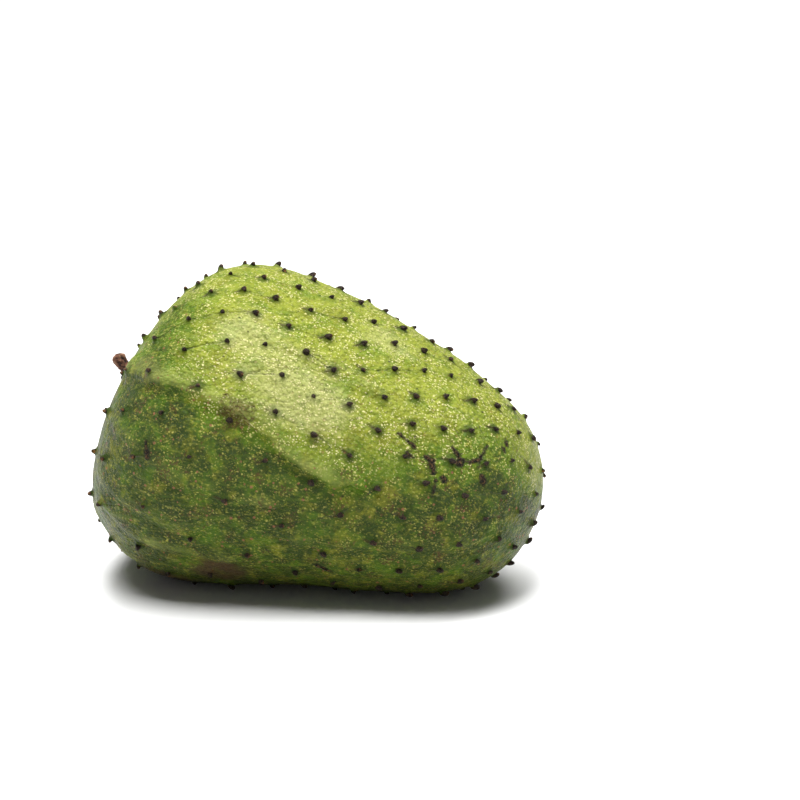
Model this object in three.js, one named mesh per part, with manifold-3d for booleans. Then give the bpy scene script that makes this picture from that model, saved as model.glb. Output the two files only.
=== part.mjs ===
// A soursop: a large soft green fruit lying on its side, with its short woody stem.
// Millimetres, +Z up. The fruit lies on Z = 0 on a small flat spot, with its stem end towards -X and
// its blossom tip towards +X. The origin is on that surface, under the middle of the whole object.
import * as THREE from 'three';
import { mergeGeometries, mergeVertices } from 'three/addons/utils/BufferGeometryUtils.js';
import Module from 'manifold-3d';

const wasm = await Module();
wasm.setup();

// The fruit's body, in its own frame: the long axis along X, stem end at -X.
const LENGTH = 195;
const GIRTH_RADIUS = 78.5;
const SHOULDER_FULLNESS = 0.282; // share of the girth gained at the stem end and lost at the tip
const END_FULLNESS = 0.2; // share of the girth gained near both ends, which makes them blunt
const SHOULDER_PUSH = 7.2; // how far the shoulders stand out towards the stem
const WIDTH_OVER_HEIGHT = 1.03;
const ARCH = 7.2; // how far the back leans towards the tip
const BODY_DETAIL = 11; // splits of each edge of the icosahedron that the skin is drawn on

// Where a feature sits on the skin: `down` is its angle from the stem end, and `round` its angle about
// the long axis (0 the far side, 90 up, 180 the near side, 270 down). Both are in degrees.
const STEM_SEAT = { down: 5.6, round: 90 };

// Low swells and hollows of the skin: `spread` is half their width in degrees, `height` is in mm.
const SWELLS = [
  { name: 'near heel', down: 64, round: 246, spread: 13, height: 4.4 },
  { name: 'far heel', down: 62, round: 296, spread: 14, height: 1 },
  { name: 'hollow before the near heel', down: 45, round: 240, spread: 12, height: -4.5 },
  { name: 'hollow before the far heel', down: 43, round: 300, spread: 13, height: -3 },
  { name: 'low shoulder', down: 27, round: 210, spread: 14, height: -1.3 },
  { name: 'top shoulder', down: 48, round: 82, spread: 16, height: 2 },
  { name: 'crown', down: 70, round: 72, spread: 16, height: 1.9 },
  { name: 'back', down: 96, round: 72, spread: 16, height: 4 },
  { name: 'belly', down: 88, round: 268, spread: 26, height: -2.3 },
  { name: 'stem dimple', down: STEM_SEAT.down, round: STEM_SEAT.round, spread: 8, height: -2.2 },
];

// How the fruit lies: the tip drops by this angle, and its centre is low enough for its own weight to
// press the flat spot about 1.3 mm into its underside.
const TIP_DROP = THREE.MathUtils.degToRad(12);
const CENTRE_HEIGHT = 57.8;
const MIDDLE_X = -4.1;
const MIDDLE_Y = 0.4;

// The spines: short leaning cones, a close gap apart except on the swollen near flank.
const SPINE_RADIUS = 1.9;
const SPINE_HEIGHT = 3.6;
const SPINE_ROOT = 1.2; // depth of a spine's base below the skin
const SPINE_LEAN = 1.3; // how far its point leans towards the blossom tip
const SPINE_SIDES = 5;
const SPINE_SIZE_RANGE = 0.35; // spread of the spines' sizes, as a share of the full size
const CLOSE_GAP = 13;
const WIDE_GAP = 26;
const WIDE_PATCH = { down: 66, round: 200 };
const WIDE_PATCH_SPREAD = 27.8;
const SPINE_CANDIDATES = 6000;
const SPINE_EVENING_PASSES = 4;
const CHANCE_STEP = 12.9898; // these two scramble a spine's index into its size
const CHANCE_STRETCH = 43758.5453;

// The stem: a woody stub, seated in the dimple and bent upwards.
const STEM_LENGTH = 13.5;
const STEM_ROOT = 5; // length of the stub's axis below the skin, cut away along the seat
const STEM_SIDES = 12;
const STEM_PROFILE = [
  // radius, height above the skin
  [0, -STEM_ROOT],
  [3.4, -STEM_ROOT],
  [3.4, 0],
  [2.9, 0.35 * STEM_LENGTH],
  [2.9, 0.65 * STEM_LENGTH],
  [2.6, 0.88 * STEM_LENGTH],
  [1.8, 0.98 * STEM_LENGTH],
  [0, STEM_LENGTH],
];
const STEM_START_RISE = THREE.MathUtils.degToRad(22); // rise of its axis where it leaves the skin
const STEM_END_RISE = THREE.MathUtils.degToRad(68); // and at its cut end
const SEAT_GAP = 0.35; // clearance between the stub and the skin

const RIND_COLOUR = 0x7f9f35;
const STEM_COLOUR = 0x6b4a38;

const FLOOR_SIZE = 400;
const SHORT_STEP = 1e-3; // on the unit sphere, to measure how the skin slopes
const ASIDE = new THREE.Vector3(0.3, 0.9, 0.2); // no place on the axis, so a tangent can be taken

// A direction from the body's centre, from the two angles of a place on the skin.
function directionOf(place) {
  const down = THREE.MathUtils.degToRad(place.down);
  const round = THREE.MathUtils.degToRad(place.round);
  const out = Math.sin(down);
  return new THREE.Vector3(-Math.cos(down), out * Math.cos(round), out * Math.sin(round));
}

// The straight-line width, on a unit sphere, of an angle in degrees.
function chordOf(angle) {
  return 2 * Math.sin(THREE.MathUtils.degToRad(angle) / 2);
}

const BUMPS = SWELLS.map((swell) => ({
  centre: directionOf(swell),
  falloff: 2 * chordOf(swell.spread) ** 2,
  height: swell.height,
}));

// The skin's point in a direction, in the fruit's own frame, pushed out by `clearance`.
function ownSkinPoint(direction, clearance = 0) {
  const stemward = -direction.x;
  const girth = 1 + SHOULDER_FULLNESS * stemward + END_FULLNESS * (2 * stemward * stemward - 1);
  const shoulder = SHOULDER_PUSH * Math.max(stemward, 0) * (1 - stemward * stemward);
  const point = new THREE.Vector3(
    -(LENGTH / 2) * stemward - shoulder + ARCH * direction.z * girth * (1 + stemward),
    GIRTH_RADIUS * WIDTH_OVER_HEIGHT * girth * direction.y,
    GIRTH_RADIUS * girth * direction.z,
  );
  let push = clearance;
  for (const bump of BUMPS) {
    push += bump.height * Math.exp(-direction.distanceToSquared(bump.centre) / bump.falloff);
  }
  return point.addScaledVector(direction, push);
}

const LAY_DOWN = new THREE.Matrix4()
  .makeTranslation(0, 0, CENTRE_HEIGHT)
  .multiply(new THREE.Matrix4().makeRotationY(TIP_DROP));

// The same point on the fruit as it lies.
function skinPoint(direction, clearance = 0) {
  return ownSkinPoint(direction, clearance).applyMatrix4(LAY_DOWN);
}

// The skin's outward normal in a direction, from two short steps along the skin.
function skinNormal(direction) {
  const side = ASIDE.clone().cross(direction).normalize();
  const other = direction.clone().cross(side);
  const across = (axis) => {
    const ahead = direction.clone().addScaledVector(axis, SHORT_STEP).normalize();
    const behind = direction.clone().addScaledVector(axis, -SHORT_STEP).normalize();
    return skinPoint(ahead).sub(skinPoint(behind));
  };
  return across(side).cross(across(other)).normalize();
}

// Evenly spread directions, wound in a spiral from the stem end to the tip.
function spiralDirections(count) {
  const turn = Math.PI * (3 - Math.sqrt(5));
  const directions = [];
  for (let i = 0; i < count; i += 1) {
    const along = 1 - (2 * i + 1) / count;
    const out = Math.sqrt(1 - along * along);
    directions.push(new THREE.Vector3(-along, out * Math.cos(i * turn), out * Math.sin(i * turn)));
  }
  return directions;
}

const WIDE_CENTRE = directionOf(WIDE_PATCH);
const WIDE_FALLOFF = 2 * chordOf(WIDE_PATCH_SPREAD) ** 2;

// The gap that the spines keep in a direction.
function gapAt(direction) {
  const share = Math.exp(-direction.distanceToSquared(WIDE_CENTRE) / WIDE_FALLOFF);
  return CLOSE_GAP + (WIDE_GAP - CLOSE_GAP) * share;
}

// The spines' directions. The stem holds the first place. Candidates that keep the gap are taken in
// turn, and then each spine moves to the middle of the skin that is nearest to it, a few times.
function spineDirections() {
  const candidates = spiralDirections(SPINE_CANDIDATES).map((direction) => ({
    direction,
    point: skinPoint(direction),
    gap: gapAt(direction),
  }));
  const site = (direction) => ({ direction, point: skinPoint(direction), gap: gapAt(direction) });
  let sites = [site(directionOf(STEM_SEAT))];
  for (const candidate of candidates) {
    const clear = sites.every((kept) => {
      const gap = (candidate.gap + kept.gap) / 2;
      return candidate.point.distanceToSquared(kept.point) >= gap * gap;
    });
    if (clear) {
      sites.push(candidate);
    }
  }
  for (let pass = 0; pass < SPINE_EVENING_PASSES; pass += 1) {
    const sums = sites.map(() => new THREE.Vector3());
    for (const candidate of candidates) {
      let nearest = 0;
      let least = Infinity;
      sites.forEach((kept, index) => {
        const reach = candidate.point.distanceToSquared(kept.point) / (kept.gap * kept.gap);
        if (reach < least) {
          least = reach;
          nearest = index;
        }
      });
      sums[nearest].add(candidate.direction);
    }
    sites = sites.map((kept, index) => (index === 0 ? kept : site(sums[index].normalize())));
  }
  return sites.slice(1).map((kept) => kept.direction);
}

// A number from 0 to 1 that is always the same for the same index.
function chance(index) {
  const wave = Math.sin(index * CHANCE_STEP) * CHANCE_STRETCH;
  return wave - Math.floor(wave);
}

// One spine: a cone along the skin's normal, its point leaning towards the blossom tip.
function spineGeometry(direction, index) {
  const scale = 1 - SPINE_SIZE_RANGE * chance(index);
  const length = SPINE_HEIGHT * scale + SPINE_ROOT;
  const cone = new THREE.ConeGeometry(SPINE_RADIUS * scale, length, SPINE_SIDES);
  cone.deleteAttribute('normal');
  cone.deleteAttribute('uv');
  cone.translate(0, length / 2 - SPINE_ROOT, 0);
  const position = cone.getAttribute('position');
  for (let i = 0; i < position.count; i += 1) {
    if (position.getY(i) > 0) {
      position.setX(i, SPINE_LEAN * scale);
    }
  }
  const normal = skinNormal(direction);
  const tipward = new THREE.Vector3(1, 0, 0).projectOnPlane(normal).normalize();
  const sideways = tipward.clone().cross(normal);
  cone.applyMatrix4(new THREE.Matrix4().makeBasis(tipward, normal, sideways));
  const foot = skinPoint(direction);
  return cone.translate(foot.x, foot.y, foot.z);
}

// The smooth body without its spines, pushed out by `clearance`.
function bodyGeometry(clearance = 0) {
  const sphere = new THREE.IcosahedronGeometry(1, BODY_DETAIL);
  sphere.deleteAttribute('normal');
  sphere.deleteAttribute('uv');
  const body = mergeVertices(sphere);
  const position = body.getAttribute('position');
  const direction = new THREE.Vector3();
  for (let i = 0; i < position.count; i += 1) {
    direction.fromBufferAttribute(position, i).normalize();
    position.setXYZ(i, ...skinPoint(direction, clearance));
  }
  return body;
}

function toSolid(geometry) {
  const merged = mergeVertices(geometry);
  return new wasm.Manifold(new wasm.Mesh({
    numProp: 3,
    vertProperties: new Float32Array(merged.getAttribute('position').array),
    triVerts: new Uint32Array(merged.getIndex().array),
  }));
}

function toGeometry(solid) {
  const mesh = solid.getMesh();
  const geometry = new THREE.BufferGeometry();
  geometry.setAttribute('position', new THREE.BufferAttribute(mesh.vertProperties, 3));
  geometry.setIndex(new THREE.BufferAttribute(mesh.triVerts, 1));
  geometry.computeVertexNormals();
  return geometry;
}

// A block whose top is the surface that the fruit lies on. It cuts the flat spot.
function floorSolid() {
  const block = new THREE.BoxGeometry(FLOOR_SIZE, FLOOR_SIZE, FLOOR_SIZE);
  block.deleteAttribute('normal');
  block.deleteAttribute('uv');
  return toSolid(block.translate(0, 0, -FLOOR_SIZE / 2));
}

// Bends a piece that stands along +Y, so that its axis follows an arc that leaves the stem seat.
function bendAlongStem(geometry) {
  const seat = skinPoint(directionOf(STEM_SEAT));
  const bend = (STEM_END_RISE - STEM_START_RISE) / STEM_LENGTH;
  const position = geometry.getAttribute('position');
  for (let i = 0; i < position.count; i += 1) {
    const along = position.getY(i);
    const rise = STEM_START_RISE + bend * Math.max(along, 0);
    const root = Math.min(along, 0);
    const out = (Math.sin(rise) - Math.sin(STEM_START_RISE)) / bend + root * Math.cos(rise);
    const up = (Math.cos(STEM_START_RISE) - Math.cos(rise)) / bend + root * Math.sin(rise);
    const across = position.getZ(i);
    position.setXYZ(
      i,
      seat.x - out + across * Math.sin(rise),
      seat.y + position.getX(i),
      seat.z + up + across * Math.cos(rise),
    );
  }
  return geometry;
}

// The stub is turned round its axis, from its root to the rounded cut end, and then bent.
function stemGeometry() {
  const profile = STEM_PROFILE.map(([radius, height]) => new THREE.Vector2(radius, height));
  const stub = new THREE.LatheGeometry(profile, STEM_SIDES);
  stub.deleteAttribute('normal');
  stub.deleteAttribute('uv');
  return bendAlongStem(stub);
}

function skinMaterial() {
  return new THREE.MeshStandardMaterial({ color: RIND_COLOUR, roughness: 0.42, metalness: 0 });
}

function woodMaterial() {
  return new THREE.MeshStandardMaterial({ color: STEM_COLOUR, roughness: 0.8, metalness: 0 });
}

function namedMesh(name, geometry, material) {
  const mesh = new THREE.Mesh(geometry, material);
  mesh.name = name;
  return mesh;
}

function makeFruit() {
  const spines = mergeGeometries(spineDirections().map(spineGeometry));
  const whole = toSolid(bodyGeometry()).add(toSolid(spines));
  return namedMesh('fruit', toGeometry(whole.subtract(floorSolid())), skinMaterial());
}

function makeStem() {
  const stub = toSolid(stemGeometry()).subtract(toSolid(bodyGeometry(SEAT_GAP)));
  return namedMesh('stem', toGeometry(stub), woodMaterial());
}

const soursop = new THREE.Group();
soursop.name = 'soursop';
soursop.add(makeFruit(), makeStem());
soursop.position.set(-MIDDLE_X, -MIDDLE_Y, 0);

export default soursop;
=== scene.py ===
"""A soursop lying on its side: a green rind grown over with hooked spines, and its woody stem stub.

Lengths are in millimetres while a shape is worked out, and its mesh is made in metres, in the frame of
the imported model: +X along the fruit from its stem end to its blossom tip, +Z up, Z = 0 underneath.
"""
import math

import bpy
import numpy as np
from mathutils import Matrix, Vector, noise
from mathutils.geometry import delaunay_2d_cdt


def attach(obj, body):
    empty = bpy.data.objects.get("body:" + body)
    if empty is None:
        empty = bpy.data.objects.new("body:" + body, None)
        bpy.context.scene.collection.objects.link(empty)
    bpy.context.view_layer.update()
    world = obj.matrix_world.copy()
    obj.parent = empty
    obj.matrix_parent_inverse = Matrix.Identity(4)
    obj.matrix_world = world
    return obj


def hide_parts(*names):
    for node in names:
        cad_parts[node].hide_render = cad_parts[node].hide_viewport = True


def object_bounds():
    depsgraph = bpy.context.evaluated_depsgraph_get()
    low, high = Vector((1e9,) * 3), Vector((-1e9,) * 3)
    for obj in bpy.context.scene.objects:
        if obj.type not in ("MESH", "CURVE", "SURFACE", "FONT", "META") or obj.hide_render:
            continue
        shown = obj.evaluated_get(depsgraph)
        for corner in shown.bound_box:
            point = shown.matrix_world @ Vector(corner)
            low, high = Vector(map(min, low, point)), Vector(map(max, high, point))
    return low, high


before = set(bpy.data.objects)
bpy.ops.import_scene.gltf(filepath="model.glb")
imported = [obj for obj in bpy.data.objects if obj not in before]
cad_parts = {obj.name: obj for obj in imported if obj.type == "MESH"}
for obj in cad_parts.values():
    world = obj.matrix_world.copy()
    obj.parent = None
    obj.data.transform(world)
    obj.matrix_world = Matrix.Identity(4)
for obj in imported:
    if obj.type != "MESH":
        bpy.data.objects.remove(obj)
CAD_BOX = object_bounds()

MM = 0.001

# The fruit's body, in its own frame: the long axis along X, stem end at -X. These are the sizes of the
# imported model's own body.
LENGTH = 195
GIRTH_RADIUS = 78.5
SHOULDER_FULLNESS = 0.282
END_FULLNESS = 0.2
SHOULDER_PUSH = 7.2
WIDTH_OVER_HEIGHT = 1.03
ARCH = 7.2
TIP_DROP = math.radians(12)
CENTRE_HEIGHT = 57.8
MIDDLE = np.array([4.1, -0.4, 0.0])

# A place on the skin is (down, round): its angle from the stem end, and its angle about the long axis
# (0 the far side, 90 up, 180 the near side, 270 down), in degrees.
STEM_SEAT = (5.6, 90)
BELLY = (88, 268)  # the lowest place, on the flat spot

# Low swells and hollows: place, half width in degrees, height.
SWELLS = [
    ((64, 246), 13, 4.4),
    ((62, 296), 14, 1),
    ((45, 240), 12, -4.5),
    ((43, 300), 13, -3),
    ((27, 210), 14, -1.3),
    ((48, 82), 16, 2),
    ((70, 72), 16, 1.9),
    ((96, 72), 16, 4),
    (BELLY, 26, -2.3),
    (STEM_SEAT, 8, -2.2),
]

# Where the spines stand.
CLOSE_GAP = 13
WIDE_GAP = 26
WIDE_PATCH = (66, 200)
WIDE_PATCH_SPREAD = 27.8
SPINE_CANDIDATES = 6000
SPINE_EVENING_PASSES = 4
CHANCE_STEP = 12.9898
CHANCE_STRETCH = 43758.5453
SPINE_SIZE_RANGE = 0.35
SWING_RANGE = math.radians(80)  # how differently the claws point, about the way to the tip
LEAST_HEIGHT = 1.2  # no spine stands lower than this
SWING_DRAW, STUB_DRAW, KIND_DRAW, VEIN_DRAW = 101, 202, 303, 404  # separate rows of chance numbers

# A spine: a fleshy mound of the skin, with a hard claw on it that bends towards the blossom tip. A
# profile goes from the claw's point to its foot, as (share of the length, share of the radius).
CLAW_LENGTH = 3.0
CLAW_RADIUS = 1.5
CLAW_PROFILE = [(1, 0), (0.96, 0.3), (0.86, 0.5), (0.68, 0.68), (0.46, 0.82), (0.22, 0.93), (0, 1.08)]
STUB_LENGTH = 1.1
STUB_PROFILE = [(0.7, 0), (0.72, 0.3), (0.8, 0.52), (1, 0.7), (0.94, 0.86), (0.5, 1), (0, 1.12)]
STUB_SHARE = 0.16  # of the spines are broken off short
LENGTH_AT_STEM = 0.78  # claws near the stem are this much of the full length
CLAW_STEPS = 40  # steps along a claw's bent axis
CLAW_THICKNESS = 0.88  # over its width
CLAW_SINK = 0.9  # of the mound's height is the claw's foot above the skin
BEND_RANGE = (0.55, 0.9)  # the least share of the bend, and how much more it may be
THREE_LOBES, FIVE_LOBES = 0.09, 0.06  # how far from round a claw is
HORN_FOOT = 0.15  # the mark up_claw where the mound ends and the claw starts
HORN_REACH = 0.3  # how far out on the mound up_claw fades to nothing, as a share of it
MOUND_REACH = 4.0
MOUND_HEIGHT = 0.75
MOUND_SLOPE = 2.1  # above 1, the mound is steep at the claw and flat at its edge
SMALL_MOUND = 0.8  # a mound's reach, with none of the spine's own size in it
MOUND_STEPS = [0.12, 0.3, 0.52, 0.76, 1]  # rings of the mound, from the claw's foot to its edge
RING_POINTS = 12
VEIN_ALIGNMENT = 0.8  # a vein runs to a spine that lies this nearly straight ahead (a cosine)
VEIN_REACH = 1.7  # in gaps
VEIN_MISSING = 0.7  # share of the spines that no vein leaves
VEIN_WIDTH = 2.6
NO_VEIN = 9.0  # the distance that stands for no vein near by
LEAN_AT_STEM = (8, 52)  # the claw's lean where it starts and the bend along it, in degrees
LEAN_AT_TIP = (38, 62)

# The mesh: evenly spread points, with a finer spread near the stem and the scars.
SKIN_POINTS = 33000
FINE_POINTS = 210000
FINE_NEAR_STEM = 10.5
FINE_NEAR_SCAR = 2.6
FINE_CLEARANCE, SKIN_CLEARANCE = 0.25, 0.7  # from a spine's own points to the spread ones
BATCH = 20000  # points worked out at a time, to spare memory
NEAR_SPINE = 7.2  # where the mark of a near spine ends
NEAR_SPINE_FADE = 2.4
PRESS_BLEND = 0.6  # half the height over which the skin rounds on to the flat spot

# Scars: corky lines on the skin, as places along them, and half their width.
SCARS = [
    ([(111.8, 143), (113.6, 144), (115.8, 145)], 0.45),
    ([(116, 145), (117, 146)], 0.85),
    ([(116, 150), (117, 151)], 0.8),
    ([(121.5, 149), (123, 150.5)], 1.1),
    ([(123, 150.5), (124, 153), (124.5, 155)], 0.8),
    ([(127.5, 156), (128.5, 157)], 0.9),
    ([(126, 158), (126.5, 166)], 0.3),
    ([(127.5, 140), (129.5, 142)], 0.5),
    ([(129.5, 142), (131, 144.5), (132, 144.5)], 0.9),
    ([(131, 146), (131.6, 147)], 1.0),
    ([(132, 144.5), (134, 144), (135.5, 142.6)], 0.5),
    ([(135.5, 142.4), (136.3, 141.6)], 0.8),
    ([(136.8, 140.8), (137.2, 139)], 0.7),
    ([(137.2, 139), (137.6, 135), (138, 131)], 0.42),
    ([(144, 119), (144.5, 120.5)], 0.85),
    ([(144.2, 125), (144.6, 126.5)], 0.8),
    ([(140, 149), (141, 151)], 1.15),
    ([(53.5, 175.5), (54.6, 178)], 0.9),
    ([(52, 173), (53.5, 175.5)], 0.4),
    ([(70, 63), (74, 66), (76, 71)], 0.6),
    ([(96, 38), (99, 33), (101, 32)], 0.9),
    ([(104, 31), (109, 33), (113, 30)], 0.4),
    ([(58, 18), (60.5, 16)], 1.0),
    ([(121, 345), (124, 341), (125, 338)], 1.0),
    ([(126, 335), (129, 334)], 0.5),
    ([(38, 332), (41, 335)], 0.7),
    ([(86, 318), (90, 321), (95, 320)], 0.5),
    ([(101, 214), (104, 217)], 0.8),
    ([(30, 58), (33, 60)], 0.6),
    ([(139, 62), (142, 66)], 0.8),
]
SCAR_HEIGHT = 0.3
SCAR_RISE = 0.8  # how far inside its edge a scar has its full height
DITCH_DEPTH, DITCH_AWAY, DITCH_WIDTH = 0.2, 0.7, 0.6  # the ditch along a scar's edge

# Brown russet patches and soft bruises: place, half size.
RUSSET_PATCHES = [((73, 155.5), 7.5), ((112, 20), 8), ((48, 60), 5), ((84, 290), 9)]
BRUISES = [((79, 226), 13), ((66, 246), 15), ((95, 300), 16), ((125, 250), 9)]
RUSSET_FADE, BRUISE_FADE = 1.5, 1.6  # where they end, in half sizes
RUSSET_HEIGHT, RUSSET_SIZE, RUSSET_SEED = 0.12, 1.6, 3.7  # the roughness of the russet

# Pale waxy blooms, with a painted sheen where the skin faces the light: place, half width in degrees.
BLOOMS_AND_SHEEN = [((80, 138), 12), ((91, 145), 7), ((64, 124), 6), ((70, 60), 14), ((108, 48), 12), ((98, 100), 7),
          ((84, 325), 10)]

# Deep green places: place, half width in degrees.
DEEP_GREENS = [((66, 176), 10), ((44, 158), 8), ((36, 192), 11), ((43, 120), 10), ((92, 178), 9),
                ((56, 20), 10), ((120, 330), 12)]

# Soft folds of the skin: places along each, height.
FOLDS = [
    ([(28, 148), (48, 150), (74, 153), (88, 165), (102, 171)], 1.7),
    ([(36, 172), (62, 182), (86, 186)], 0.8),
    ([(40, 205), (58, 214), (80, 216)], 1.0),
    ([(30, 196), (48, 198), (70, 202)], 0.8),
    ([(24, 226), (46, 232), (74, 230)], 1.0),
    ([(50, 118), (70, 124), (92, 126), (112, 133)], 0.8),
    ([(30, 30), (56, 26), (88, 34), (110, 30)], 0.9),
    ([(34, 350), (62, 342), (96, 346)], 0.8),
    ([(60, 66), (92, 60), (120, 66)], 0.7),
    ([(42, 310), (70, 316), (100, 310)], 0.8),
    ([(96, 200), (120, 196), (140, 190)], 0.7),
]
PATH_STEP = 5  # degrees, so that a line of places follows the skin
FOLD_ABOVE = 7.0  # how far a fold reaches on its upper side
FOLD_BELOW = 2.4
GROOVE_AWAY, GROOVE_DEPTH = 2.2, 0.5  # in reaches of the lower side, and in heights of the fold
WAVER, WAVER_SIZE, WAVER_SEEDS = 0.03, 8, (1.3, 4.1, 8.6)  # how a fold's line wavers
CHANGE, CHANGE_SIZE, CHANGE_SEED = 0.7, 15, 6.6  # how a fold's height changes along it

# Lumps all over the skin: height, size, seed.
LUMPS = [(0.55, 26, 0.0), (0.3, 11, 5.3), (0.1, 4.5, 9.1)]

# The skin round the stem: a raised collar, and puckers that run out from it.
COLLAR_HEIGHT, COLLAR_AWAY, COLLAR_WIDTH = 1.1, 5.4, 1.7
COLLAR_MARK_AWAY, COLLAR_MARK_FADE = 3, 3.2
PUCKERS = 9
PUCKER_HEIGHT, PUCKER_AWAY, PUCKER_WIDTH = 0.3, 6.5, 3.4
PUCKER_UNEVENNESS = 1.5

# How high up the side the dark green of the underside comes (the sine of the angle above the level),
# at some angles from the stem end, and how gently it turns to the yellow green of the top. This is partly
# the skin's own tone and partly painted shade: the underside and lower flank are painted darker, and the
# top lighter, as the overhead light falls. The deep green places lower it by DEEPNESS, at most down to
# the least value below.
TONE_AND_SHADE_BOUNDARY = [(0, 0.75), (30, 0.62), (50, 0.48), (75, 0.32), (92, 0.1), (108, 0.28),
                (130, 0.66), (145, 0.76), (160, 0.66), (180, 0.4)]
TONE_AND_SHADE_BLEND = 0.62
DEEPNESS = 0.5
LEAST_RIPE_AND_SHADE = -0.25

# The stem stub.
STEM_LENGTH = 13.5
STEM_START_RISE = math.radians(22)
STEM_END_RISE = math.radians(68)
STEM_ROWS = 56
STEM_SIDES = 48
STEM_ROW_SPREAD = 1.35  # above 1, the rows are closer together towards the stem's end
STEM_PROFILE = [(-4.5, 3.3), (0, 3.5), (1.2, 3.1), (3, 2.75), (6, 2.6), (9, 2.7), (10.8, 2.95),
                (12.2, 2.7), (13, 2.1), (13.4, 1.2), (13.5, 0.0)]  # height above the seat, radius
# The noises of the bark: height, stretch, size, seed.
BARK = [(0.75, (1, 0.5, 1), 3.0, 2.2), (0.5, (1, 0.7, 1), 1.4, 7.7), (0.22, (1, 1, 1), 0.7, 4.4)]
FULL_BARK_RADIUS = 1.5  # nearer to the stem's axis than this, the bark is lower
LEAST_BARK = 0.2
TORN_FROM = 11  # from this height up, the stem's end is torn
TORN_HEIGHT, TORN_SIZE, TORN_SEED = 0.35, 1.2, 12.1

# Spines near the stem have a fleshier foot: how far out from the middle this starts, and over what
# distance it comes in, as shares of the half length.
FLESHY_FROM, FLESHY_BLEND = 0.35, 0.45


def unit(vectors):
    return vectors / np.linalg.norm(vectors, axis=-1, keepdims=True)


def direction_of(place):
    down, around = (math.radians(angle) for angle in place)
    out = math.sin(down)
    return np.array([-math.cos(down), out * math.cos(around), out * math.sin(around)])


def chord_of(angle):
    """The straight-line width, on a unit sphere, of an angle in degrees."""
    return 2 * math.sin(math.radians(angle) / 2)


def closeness(directions, place, spread):
    """1 at a place, falling to nothing a few spreads (in degrees) away."""
    square = ((directions - direction_of(place)) ** 2).sum(-1)
    return np.exp(-square / (2 * chord_of(spread) ** 2))


def lay_down(points):
    x, y, z = points.T
    cos, sin = math.cos(TIP_DROP), math.sin(TIP_DROP)
    return np.stack([cos * x + sin * z, y, cos * z - sin * x + CENTRE_HEIGHT], -1) + MIDDLE


def skin_points(directions):
    """The smooth skin's points in some directions."""
    x, y, z = directions.T
    stemward = -x
    girth = 1 + SHOULDER_FULLNESS * stemward + END_FULLNESS * (2 * stemward**2 - 1)
    shoulder = SHOULDER_PUSH * np.maximum(stemward, 0) * (1 - stemward**2)
    points = np.stack([
        -LENGTH / 2 * stemward - shoulder + ARCH * z * girth * (1 + stemward),
        GIRTH_RADIUS * WIDTH_OVER_HEIGHT * girth * y,
        GIRTH_RADIUS * girth * z,
    ], -1)
    push = sum(height * closeness(directions, place, spread) for place, spread, height in SWELLS)
    return lay_down(points + directions * push[:, None])


def skin_slopes(directions):
    """Two tangents of the unit sphere, and how the skin's point moves for a step along each."""
    step = 1e-4
    side = unit(np.cross(np.array([0.3, 0.9, 0.2]), directions))
    other = np.cross(directions, side)

    def moved(axis):
        ahead = skin_points(unit(directions + axis * step))
        behind = skin_points(unit(directions - axis * step))
        return (ahead - behind) / (2 * step)

    return side, other, moved(side), moved(other)


def skin_normals(directions):
    return unit(np.cross(*skin_slopes(directions)[2:]))


def spiral(count):
    """Evenly spread directions, wound in a spiral from the stem end to the tip."""
    index = np.arange(count)
    along = 1 - (2 * index + 1) / count
    out = np.sqrt(1 - along**2)
    turn = index * math.pi * (3 - math.sqrt(5))
    return np.stack([-along, out * np.cos(turn), out * np.sin(turn)], -1)


def chance(index):
    """Numbers from 0 to 1 that are always the same for the same index."""
    wave = np.sin(index * CHANCE_STEP) * CHANCE_STRETCH
    return wave - np.floor(wave)


def spine_gap(directions):
    return CLOSE_GAP + (WIDE_GAP - CLOSE_GAP) * closeness(directions, WIDE_PATCH, WIDE_PATCH_SPREAD)


def spine_directions():
    """Candidates that keep the gap, each moved to the middle of the skin nearest to it, a few times."""
    candidates = spiral(SPINE_CANDIDATES)
    points = skin_points(candidates)
    gaps = spine_gap(candidates)
    seat = direction_of(STEM_SEAT)[None]
    kept_points = skin_points(seat)
    kept_gaps = spine_gap(seat)
    kept = [seat[0]]
    for direction, point, gap in zip(candidates, points, gaps):
        apart = ((kept_points - point) ** 2).sum(-1)
        if (apart >= ((kept_gaps + gap) / 2) ** 2).all():
            kept.append(direction)
            kept_points = np.vstack([kept_points, point])
            kept_gaps = np.append(kept_gaps, gap)
    sites = np.array(kept)
    for _ in range(SPINE_EVENING_PASSES):
        apart = ((points[:, None] - skin_points(sites)[None]) ** 2).sum(-1)
        nearest = (apart / spine_gap(sites) ** 2).argmin(1)
        sums = np.zeros_like(sites)
        np.add.at(sums, nearest, candidates)
        sites[1:] = unit(sums[1:])
    return sites[1:]


def rough(points, size, seed=0.0):
    """Smooth noise, about -1 to 1, whose lumps are about `size` mm apart."""
    shifted = points / size + seed
    return np.array([noise.noise(Vector(point)) for point in shifted])


def close_places(places):
    """The same line of places, with more of them between the ones that lie far apart."""
    line = [places[0]]
    for start, end in zip(places[:-1], places[1:]):
        steps = math.ceil(max(abs(end[0] - start[0]), abs(end[1] - start[1])) / PATH_STEP)
        for k in range(1, steps + 1):
            line.append(tuple(a + (b - a) * k / steps for a, b in zip(start, end)))
    return line


def distance_to_path(points, places):
    """Distance from points to the line through some places on the skin."""
    corners = skin_points(np.array([direction_of(place) for place in close_places(places)]))
    least = np.full(len(points), np.inf)
    for start, end in zip(corners[:-1], corners[1:]):
        run = end - start
        share = np.clip((points - start) @ run / (run @ run), 0, 1)
        least = np.minimum(least, np.linalg.norm(points - start - share[:, None] * run, axis=-1))
    return least


def distance_to_place(points, place):
    return np.linalg.norm(points - skin_points(direction_of(place)[None]), axis=-1)


def scar_depth(points):
    """How far inside the nearest scar's edge a point is, in mm. It is negative outside."""
    return np.max([width - distance_to_path(points, places) for places, width in SCARS], axis=0)


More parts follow.
